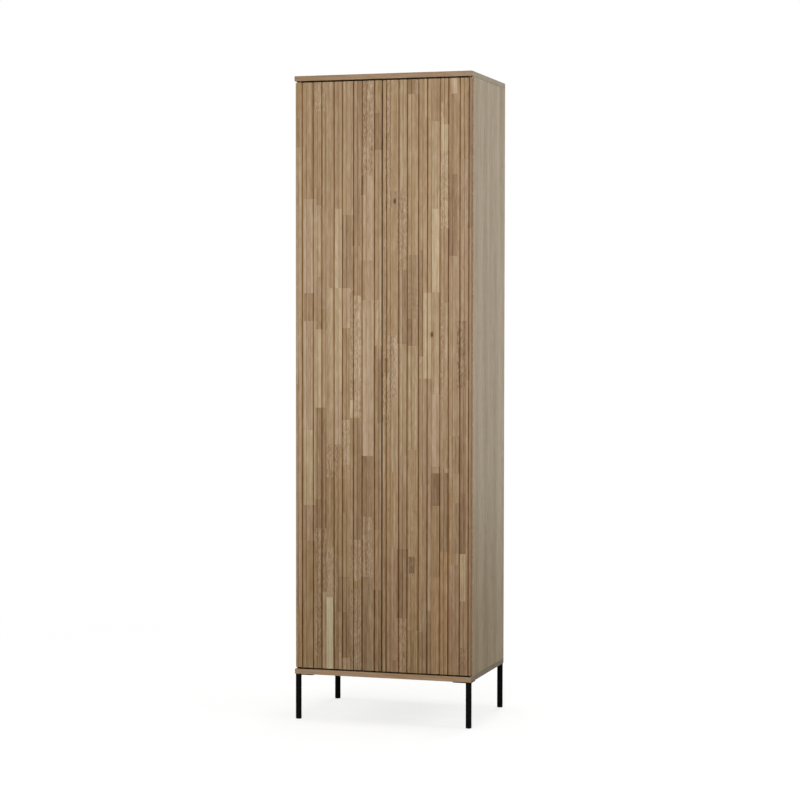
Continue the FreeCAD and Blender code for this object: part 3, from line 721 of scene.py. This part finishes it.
@dataclass(frozen=True)
class Carcass:
    """The cabinet's boards and its back."""

    edge_radius: float = 1.0 * MM
    boards: tuple[Board, ...] = (
        Board("top_panel", BOARD_OAK, BROWN_EDGE_OAK, PAINTED_COOL_TOP_END_OAK),
        Board("bottom_panel", BOARD_OAK, EDGE_OAK, PAINTED_SHADE_BOTTOM_END_OAK),
        Board("left_side_panel", PAINTED_COOL_SIDE_OAK), Board("right_side_panel", PAINTED_COOL_SIDE_OAK),
        Board("fixed_shelf", BOARD_OAK),
    )
    loose_shelves: int = 4

    def build(self) -> None:
        """Build the boards and dress the back."""
        shelves = [Board(f"loose_shelf_{number}", BOARD_OAK)
                   for number in range(1, self.loose_shelves + 1)]
        for board in (*self.boards, *shelves):
            board.build(self.edge_radius)
        coat(["back_panel"], BACK_OAK)


@dataclass(frozen=True)
class Shade:
    """A stave's colour and how often it comes."""

    colour: str
    share: int


class Tone(Enum):
    """Tones of oak staves; one without a share comes only where a listed stave has it."""

    BEIGE = Shade("#9e8160", 6)
    HONEY = Shade("#9b7d58", 6)
    ROSE = Shade("#9b7c5b", 4)
    STRAW = Shade("#a38765", 2)
    FAWN = Shade("#927554", 2)
    UMBER = Shade("#866848", 0)
    AMBER = Shade("#a07e58", 0)
    BLUSH = Shade("#ac9071", 0)
    PALE = Shade("#b29976", 0)
    CREAM = Shade("#bfad89", 0)


@dataclass(frozen=True)
class Stave:
    """One oak stave: its sides, ends and tone, in millimetres of the cabinet's frame."""

    left: float
    right: float
    foot: float
    head: float
    tone: Tone
    flecks: float = 0.0

    def holds(self, point: Vector) -> bool:
        """Tell whether a point of the door lies in the stave."""
        return self.left <= point.x <= self.right and self.foot <= point.z <= self.head


@dataclass(frozen=True)
class StavedDoor:
    """A grooved door glued up from oak staves.

    The staves stand side by side, butted end to end at random heights. The ones that catch the eye
    are laid last. Each comes from a random place in a log, as far across, deep and along as log_mm
    says. A rib's arris runs over at least rib_share of the height. Faces in the grooves and in the
    gaps round the door get painted shade, as powers of the wood's red, green and blue.
    """

    side: str
    seed: int
    joints_mm: tuple[float, ...]
    marked: tuple[Stave, ...]
    shortest_mm: float = 260.0
    longest_mm: float = 760.0
    margin_mm: float = 1.0
    log_mm: Point = (150.0, 900.0, 9000.0)
    fleck_mix: tuple[float, ...] = (0.0, 0.0, 0.0, 0.3, 1.0)
    tone_spread: float = 0.05
    rib_share: float = 0.9
    arris: float = 0.45 * MM
    fine_groove: float = 1.4 * MM
    groove: float = 4.0 * MM
    # Painted shade: powers that darken faces in fine grooves, main grooves and the gaps round the
    # door.
    unshaded: Powers = (1.0, 1.0, 1.0)
    fine_groove_shade: Powers = (1.16, 1.18, 1.21)
    groove_shade: Powers = (1.42, 1.50, 1.62)
    gap_shade: Powers = (1.66, 1.72, 1.82)

    @property
    def node(self) -> str:
        """Name of the door's CAD node, which is also its body."""
        return f"{self.side}_door"

    def build(self) -> None:
        """Ease the grooves, lay the staves and make the piece."""
        shape = welded_copy(self.node)
        ease(shape, self.rib_edges(shape), self.arris)
        rng = random.Random(self.seed)
        staves = (*self.batch(rng), *self.marked)
        self.saw(shape, staves)
        self.paint(shape, staves, rng)
        make_piece(shape, self.node, self.node, STAVE_OAK)

    def batch(self, rng: random.Random) -> Iterator[Stave]:
        """Fill every column with staves of mixed length and tone.

        Args:
            rng: Seeded source of the mix.

        Yields:
            Staves from foot to head, column by column.
        """
        low, high = (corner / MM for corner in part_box(self.node))
        tones = list(Tone)
        shares = [tone.value.share for tone in tones]
        sides = (low.x - self.margin_mm, *self.joints_mm, high.x + self.margin_mm)
        for left, right in zip(sides, sides[1:]):
            foot = low.z - rng.uniform(0.0, self.longest_mm)
            while foot < high.z:
                head = foot + rng.uniform(self.shortest_mm, self.longest_mm)
                flecks = rng.choice(self.fleck_mix)
                yield Stave(left, right, foot, head, rng.choices(tones, shares)[0], flecks)
                foot = head

    def rib_edges(self, shape: Shape) -> list[Edge]:
        """Find the upright arrises on the door's front.

        Args:
            shape: The door.

        Returns:
            Edges to ease.
        """
        low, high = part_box(self.node)
        middle = (low.y + high.y) / 2
        tall = (high.z - low.z) * self.rib_share
        return [edge for edge in shape.edges
                if edge.calc_length() > tall and edge.verts[0].co.y < middle
                and edge.is_convex and edge.calc_face_angle(0.0) > SHARP_ANGLE]

    def grain_and_painted_shade(self, face: Face, low: Vector, high: Vector) -> Powers:
        """Give the painted shade of a face in a groove or in the gap round the door.

        Args:
            face: Face of the door.
            low: Lowest corner of the door's box.
            high: Highest corner of the door's box.

        Returns:
            Powers to raise the wood's red, green and blue to.
        """
        middle = face.calc_center_median()
        depth = middle.y - low.y
        meeting = high.x if self.side == "left" else low.x
        if abs(face.normal.z) > SQUARE or abs(middle.x - meeting) < self.arris:
            return self.gap_shade
        if self.fine_groove + WELD < depth < self.groove + WELD:
            return self.groove_shade
        return self.fine_groove_shade if self.arris < depth < self.groove else self.unshaded

    @staticmethod
    def split(shape: Shape, faces: Iterable[Face], point: Point, normal: Point) -> list[Face]:
        """Cut faces along a plane and keep both halves.

        Args:
            shape: Shape that holds the faces.
            faces: Faces to cut.
            point: Point on the plane.
            normal: The plane's direction.

        Returns:
            The faces on both sides of the cut.
        """
        parts = set(faces)
        for face in list(parts):
            parts.update(face.edges)
            parts.update(face.verts)
        cut = bmesh.ops.bisect_plane(shape, geom=list(parts), dist=WELD, plane_co=point,
                                     plane_no=normal)
        return [part for part in cut["geom"] if isinstance(part, Face)]

    def saw(self, shape: Shape, staves: Sequence[Stave]) -> None:
        """Cut the door's faces along the sides and the ends of its staves.

        Args:
            shape: The door.
            staves: Staves of the door.
        """
        sides = sorted({side for stave in staves for side in (stave.left, stave.right)})
        for side in sides:
            self.split(shape, shape.faces, (side * MM, 0.0, 0.0), (1.0, 0.0, 0.0))
        for left, right in zip(sides, sides[1:]):
            column = [face for face in shape.faces
                      if left < face.calc_center_median().x / MM < right]
            crossing = [stave for stave in staves if stave.left <= left and right <= stave.right]
            for level in sorted({end for stave in crossing for end in (stave.foot, stave.head)}):
                column = self.split(shape, column, (0.0, 0.0, level * MM), (0.0, 0.0, 1.0))

    def paint(self, shape: Shape, staves: Sequence[Stave], rng: random.Random) -> None:
        """Give every face its stave's colour, with painted shade in the grooves and gaps, and its
        place in the wood.

        Args:
            shape: The door, cut into staves.
            staves: Staves of the door; a later one covers an earlier one.
            rng: Seeded source of the mix.
        """
        colour = shape.faces.layers.float_color.new(TONE_LAYER)
        offset = shape.faces.layers.float_vector.new(PLACE_LAYER)
        plain = len(staves) - len(self.marked)
        lights = [1.0 + rng.uniform(-self.tone_spread, self.tone_spread) for _ in range(plain)]
        lights += [1.0] * len(self.marked)
        across, deep, long = self.log_mm
        places = [(rng.uniform(-across, across), rng.uniform(0.0, deep), rng.uniform(0.0, long))
                  for _ in staves]
        low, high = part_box(self.node)
        for face in shape.faces:
            middle = face.calc_center_median() / MM
            number = max(index for index, stave in enumerate(staves) if stave.holds(middle))
            # Painted shade darkens the colour of faces in the grooves and in the gaps round the
            # door.
            grain_and_painted_shade = self.grain_and_painted_shade(face, low, high)
            wood = linear(staves[number].tone.value.colour)
            tint = [(lights[number] * channel) ** power for channel, power in zip(wood, grain_and_painted_shade)]
            face[colour] = (*tint, staves[number].flecks)
            face[offset] = places[number]


def stack(left: float, right: float, head: float,
          *looks: tuple[float, Tone] | tuple[float, Tone, float]) -> Iterator[Stave]:
    """Stand staves one on another, from the top down.

    Args:
        left: Left side of the staves.
        right: Right side of the staves.
        head: Head of the uppermost stave.
        looks: Foot, tone and, where it has any, flecks of each stave.

    Yields:
        The staves.
    """
    for foot, *look in looks:
        yield Stave(left, right, foot, head, *look)
        head = foot


# These staves are laid after the photograph, where their tones, ends or flecks stand out.
LEFT_DOOR = StavedDoor(
    "left", 11, (-254, -217, -180, -142, -104, -67, -29),
    (
        *stack(-282, -254, 1780, (1047, Tone.STRAW)),
        *stack(-254, -217, 1990, (1620, Tone.HONEY), (1330, Tone.BLUSH), (1243, Tone.ROSE),
               (905, Tone.BLUSH), (672, Tone.PALE), (560, Tone.ROSE), (150, Tone.HONEY)),
        *stack(-217, -180, 1990, (1890, Tone.BEIGE, 1.0)),
        *stack(-217, -180, 1600, (1380, Tone.STRAW)),
        *stack(-217, -180, 1243, (1218, Tone.FAWN)),
        *stack(-217, -195, 1218, (975, Tone.PALE)),
        *stack(-195, -180, 1218, (975, Tone.STRAW)),
        *stack(-217, -180, 975, (690, Tone.FAWN), (600, Tone.UMBER)),
        *stack(-195, -180, 402, (150, Tone.STRAW)),
        *stack(-180, -130, 1990, (1345, Tone.BEIGE)),
        *stack(-155, -142, 1589, (1345, Tone.PALE)),
        *stack(-142, -130, 1589, (1345, Tone.BLUSH)),
        *stack(-180, -155, 1345, (862, Tone.STRAW)),
        *stack(-155, -130, 1345, (1025, Tone.PALE), (862, Tone.BLUSH)),
        *stack(-180, -142, 862, (760, Tone.ROSE, 1.0)),
        *stack(-180, -155, 545, (386, Tone.BEIGE, 1.0)),
        *stack(-180, -159, 386, (150, Tone.CREAM)),
        *stack(-130, -104, 1990, (1570, Tone.STRAW)),
        *stack(-130, -92, 1570, (1345, Tone.FAWN)),
        *stack(-130, -104, 1345, (1222, Tone.BLUSH), (938, Tone.HONEY), (800, Tone.STRAW, 1.0)),
        *stack(-142, -118, 650, (451, Tone.STRAW)),
        *stack(-142, -104, 451, (342, Tone.FAWN)),
        *stack(-130, -104, 342, (200, Tone.UMBER)),
        *stack(-92, -67, 1990, (1520, Tone.FAWN)),
        *stack(-104, -67, 1520, (1475, Tone.FAWN)),
        *stack(-92, -67, 1475, (1322, Tone.ROSE)),
        *stack(-104, -67, 1322, (945, Tone.STRAW, 1.0)),
        *stack(-104, -92, 1000, (945, Tone.PALE)),
        *stack(-92, -67, 935, (568, Tone.FAWN)),
        *stack(-104, -67, 568, (440, Tone.BEIGE, 1.0)),
        *stack(-67, -29, 1690, (1430, Tone.BLUSH)),
        *stack(-67, -51, 1690, (1630, Tone.FAWN)),
        *stack(-67, -29, 1430, (1308, Tone.ROSE), (828, Tone.BLUSH), (640, Tone.FAWN)),
        *stack(-29, 0, 1880, (1767, Tone.FAWN), (1308, Tone.STRAW)),
        *stack(-29, 0, 1127, (930, Tone.FAWN)),
        *stack(-29, 0, 600, (415, Tone.BEIGE), (150, Tone.FAWN)),
    ),
)
RIGHT_DOOR = StavedDoor(
    "right", 23, (10, 48, 82, 118, 158, 195, 232, 268),
    (
        *stack(27, 48, 1990, (1640, Tone.HONEY), (1590, Tone.FAWN)),
        *stack(14, 48, 1590, (1200, Tone.HONEY)),
        *stack(0, 27, 1130, (1085, Tone.FAWN)),
        *stack(27, 48, 1009, (780, Tone.STRAW)),
        *stack(10, 48, 551, (200, Tone.ROSE)),
        *stack(48, 82, 1990, (1640, Tone.STRAW), (1400, Tone.BEIGE, 1.0), (1174, Tone.FAWN),
               (830, Tone.STRAW)),
        *stack(48, 82, 544, (330, Tone.FAWN)),
        *stack(82, 105, 1990, (1934, Tone.UMBER)),
        *stack(82, 118, 1934, (1445, Tone.HONEY), (1250, Tone.FAWN)),
        *stack(82, 97, 1252, (1168, Tone.UMBER)),
        *stack(82, 118, 1168, (850, Tone.STRAW)),
        *stack(82, 105, 521, (470, Tone.UMBER, 1.0)),
        *stack(118, 132, 1460, (1136, Tone.FAWN)),
        *stack(118, 158, 1136, (1068, Tone.STRAW)),
        *stack(132, 158, 1330, (1068, Tone.PALE)),
        *stack(118, 158, 1068, (743, Tone.BEIGE)),
        *stack(118, 145, 290, (150, Tone.FAWN)),
        *stack(145, 158, 318, (150, Tone.FAWN)),
        *stack(158, 185, 1990, (1850, Tone.ROSE), (1585, Tone.STRAW), (1332, Tone.PALE),
               (1020, Tone.STRAW), (800, Tone.BLUSH)),
        *stack(158, 185, 780, (680, Tone.UMBER), (460, Tone.HONEY), (150, Tone.AMBER)),
        *stack(185, 212, 1840, (1760, Tone.PALE), (1525, Tone.STRAW, 1.0), (1300, Tone.ROSE)),
        *stack(185, 212, 782, (540, Tone.FAWN), (150, Tone.AMBER)),
        *stack(212, 248, 1990, (1690, Tone.ROSE)),
        *stack(220, 238, 1990, (1932, Tone.PALE)),
        *stack(212, 238, 1690, (1442, Tone.UMBER)),
        *stack(212, 248, 1442, (895, Tone.BEIGE)),
        *stack(225, 248, 780, (690, Tone.STRAW)),
        *stack(212, 225, 720, (500, Tone.AMBER)),
        *stack(212, 248, 500, (150, Tone.ROSE)),
        *stack(238, 267, 1245, (1040, Tone.UMBER, 1.0)),
        *stack(248, 267, 1040, (720, Tone.FAWN), (535, Tone.UMBER), (390, Tone.PALE)),
    ),
)


@dataclass(frozen=True)
class LegSet:
    """Four black legs with their plates, glides and screws."""

    corners: tuple[str, ...] = CORNERS

    def dress(self) -> None:
        """Coat the legs."""
        coat([f"{corner}_leg" for corner in self.corners], POWDER_COAT)
        coat([f"{corner}_leg_plate" for corner in self.corners], POWDER_COAT)
        coat([f"{corner}_glide" for corner in self.corners], BLACK_PLASTIC)
        coat(["leg_screws"], BLACK_ZINC)


@dataclass(frozen=True)
class Fittings:
    """Hinges, latches, brackets and the joints of the boards."""

    sides: tuple[str, ...] = SIDES
    ends: tuple[str, ...] = ("upper", "lower")

    def dress(self) -> None:
        """Give every fitting its metal, plastic or wood."""
        pivots = [f"{end}_{side}_pivot" for end in self.ends for side in self.sides]
        coat([f"{pivot}_{part}" for pivot in pivots for part in ("plate", "pin")], BLACK_ZINC)
        coat(["pivot_plate_screws"], BLACK_ZINC)
        coat([f"{pivot}_bush" for pivot in pivots], TURNED_BRASS)
        coat([f"lower_{side}_thrust_washer" for side in self.sides], BLACK_PLASTIC)
        coat([f"{side}_latch_housing" for side in self.sides], GREY_PLASTIC)
        coat([f"{side}_latch_plunger" for side in self.sides], WHITE_PLASTIC)
        for part in ("strike_plate", "strike_screws", "wall_bracket"):
            coat([f"{side}_{part}" for side in self.sides], ZINC_STEEL)
        coat(["latch_screws", "wall_bracket_screws", "back_panel_screws", "cam_locks", "cam_bolts",
              "shelf_pins"], ZINC_STEEL)
        coat(["wood_dowels"], BEECH)


@dataclass(frozen=True)
class LatchSpring:
    """The spring of a push latch, which shortens as its plunger goes in; the copy keeps its length.
    """

    side: str
    travel: float = 2.0 * MM

    def build(self) -> None:
        """Build a copy of the spring at its full length."""
        node = f"{self.side}_latch_spring"
        spring = make_piece(welded_copy(node), node, "cabinet", ZINC_STEEL)
        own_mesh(spring)


@dataclass(frozen=True)
class Softbox:
    """A soft lamp.

    Its place, the point that it faces, its width and height, its power, and whether shiny surfaces
    mirror it.
    """

    name: str
    place: Point
    target: Point
    size: Span
    watts: float
    mirrored: bool = False

    def hang(self) -> None:
        """Hang the lamp."""
        data = bpy.data.lights.new(self.name, "AREA")
        data.shape = "RECTANGLE"
        data.size, data.size_y = self.size
        data.energy = self.watts
        aim = Vector(self.target) - Vector(self.place)
        lamp = add_object(self.name, data)
        lamp.location = self.place
        lamp.rotation_euler = aim.to_track_quat("-Z", "Y").to_euler()
        lamp.visible_camera = False
        lamp.visible_glossy = self.mirrored


class Glow(NamedTuple):
    """Light that a floor adds, and the metres from the object between which it grows to white."""

    strength: float
    near: float
    far: float


@dataclass(frozen=True)
class Studio:
    """Pale floor, white surroundings, soft lamps and the camera of the photograph.

    The camera's turn, tilt and roll are in degrees.
    """

    lamps: tuple[Softbox, ...] = (
        Softbox("front_softbox", (0.25, -2.5, 1.62), (0.0, -0.2, 1.6), (1.4, 1.2), 41.5,
                mirrored=True),
        Softbox("right_softbox", (2.5, -0.1, 1.9), (0.28, 0.0, 1.3), (1.0, 1.2), 22.0),
        Softbox("left_softbox", (-2.6, 0.2, 1.9), (-0.28, 0.0, 1.2), (1.0, 1.2), 20.0),
        Softbox("rear_softbox", (0.3, 2.7, 1.9), (0.0, 0.2, 1.2), (1.2, 1.2), 34.0),
        Softbox("top_softbox", (0.0, 0.1, 3.6), (0.0, 0.1, 2.0), (1.2, 1.2), 15.0),
    )
    ambient: float = 0.25
    floor_half: float = 30.0
    floor_colour: str = "#a0a0a0"
    seen_glow: Glow = Glow(0.72, 0.8, 2.6)
    mirrored_glow: Glow = Glow(0.02, 1.0, 9.5)
    camera_place: Point = (2.0380, -6.6368, 1.2653)
    camera_turn: float = 17.102
    camera_tilt: float = -2.238
    camera_roll: float = 0.065
    lens_mm: float = 98.97
    clip_end: float = 100.0

    def build(self) -> None:
        """Build the whole studio."""
        bpy.context.scene.view_settings.view_transform = "Standard"
        self.lay_floor()
        self.set_surroundings()
        for lamp in self.lamps:
            lamp.hang()
        self.set_camera()

    @staticmethod
    def rays(tree: Tree, *kinds: str) -> Socket:
        """Tell rays of some kinds from others.

        Args:
            tree: Node tree that gets the nodes.
            kinds: Kinds of ray, named as the light path's outputs.

        Returns:
            1 for a ray of these kinds, else 0.
        """
        path = add_node(tree, "LightPath")
        either = path.outputs[kinds[0]]
        for kind in kinds[1:]:
            either = add_node(tree, "Math", {"operation": "MAXIMUM"},
                              {0: either, 1: path.outputs[kind]}).outputs[0]
        return either

    @staticmethod
    def glowing(tree: Tree, matt: Socket, glow: Glow) -> Socket:
        """Lift a matt floor with a glow that grows to plain white away from the object.

        Args:
            tree: Node tree that gets the nodes.
            matt: Shader of the matt floor.
            glow: The glow to add.

        Returns:
            The lifted shader.
        """
        lift = add_node(tree, "Emission", None, {"Strength": glow.strength})
        near = add_node(tree, "AddShader", None, {0: matt, 1: lift.outputs[0]})
        white = add_node(tree, "Emission", None, {"Strength": 1.0})
        place = add_node(tree, "TexCoord")
        reach = add_node(tree, "VectorMath", {"operation": "LENGTH"},
                         {0: place.outputs["Object"]})
        fade = add_node(tree, "MapRange", {"interpolation_type": "SMOOTHSTEP"},
                        {"Value": reach.outputs["Value"], "From Min": glow.near,
                         "From Max": glow.far})
        return add_node(tree, "MixShader", None,
                        {0: fade.outputs[0], 1: near.outputs[0], 2: white.outputs[0]}).outputs[0]

    def lay_floor(self) -> None:
        """Lay a pale floor that looks white and keeps the shadow."""
        shape = bmesh.new()
        bmesh.ops.create_grid(shape, x_segments=1, y_segments=1, size=self.floor_half)
        mesh = bpy.data.meshes.new("studio_floor")
        shape.to_mesh(mesh)
        shape.free()
        material = bpy.data.materials.new("pale_studio_floor")
        tree = blank_tree(material)
        matt = add_node(tree, "BsdfDiffuse", None, {"Color": linear(self.floor_colour)})
        shown = self.glowing(tree, matt.outputs[0], self.seen_glow)
        mirrored = self.glowing(tree, matt.outputs[0], self.mirrored_glow)
        hidden = add_node(tree, "MixShader", None,
                          {0: self.rays(tree, "Is Glossy Ray", "Is Transmission Ray"),
                           1: matt.outputs[0], 2: mirrored})
        whole = add_node(tree, "MixShader", None,
                         {0: self.rays(tree, "Is Camera Ray"), 1: hidden.outputs[0], 2: shown})
        add_node(tree, "OutputMaterial", None, {"Surface": whole.outputs[0]})
        mesh.materials.append(material)
        floor = add_object("studio_floor", mesh)

    def set_surroundings(self) -> None:
        """Light the object softly from all round and show white behind it."""
        world = bpy.data.worlds.new("studio")
        tree = blank_tree(world)
        seen = self.rays(tree, "Is Camera Ray", "Is Glossy Ray", "Is Transmission Ray")
        level = add_node(tree, "MapRange", None,
                         {"Value": seen, "To Min": self.ambient, "To Max": 1.0})
        sky = add_node(tree, "Background", None,
                       {"Color": linear("#ffffff"), "Strength": level.outputs[0]})
        add_node(tree, "OutputWorld", None, {"Surface": sky.outputs[0]})
        bpy.context.scene.world = world

    def set_camera(self) -> None:
        """Put the camera where the photograph was taken."""
        data = bpy.data.cameras.new("photo_camera")
        data.lens = self.lens_mm
        data.clip_end = self.clip_end
        camera = add_object("photo_camera", data)
        camera.location = self.camera_place
        # A camera turned by 90 degrees about X looks level.
        degrees = (90.0 + self.camera_tilt, -self.camera_roll, self.camera_turn)
        camera.rotation_euler = tuple(math.radians(angle) for angle in degrees)
        bpy.context.scene.camera = camera


def main() -> None:
    """Build every sub-assembly and the studio."""
    logging.basicConfig(level=logging.INFO, format="%(name)s: %(message)s")
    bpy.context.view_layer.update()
    Carcass().build()
    for door in (LEFT_DOOR, RIGHT_DOOR):
        door.build()
    LegSet().dress()
    Fittings().dress()
    for side in SIDES:
        LatchSpring(side).build()
    Studio().build()


if __name__ == "__main__":
    main()
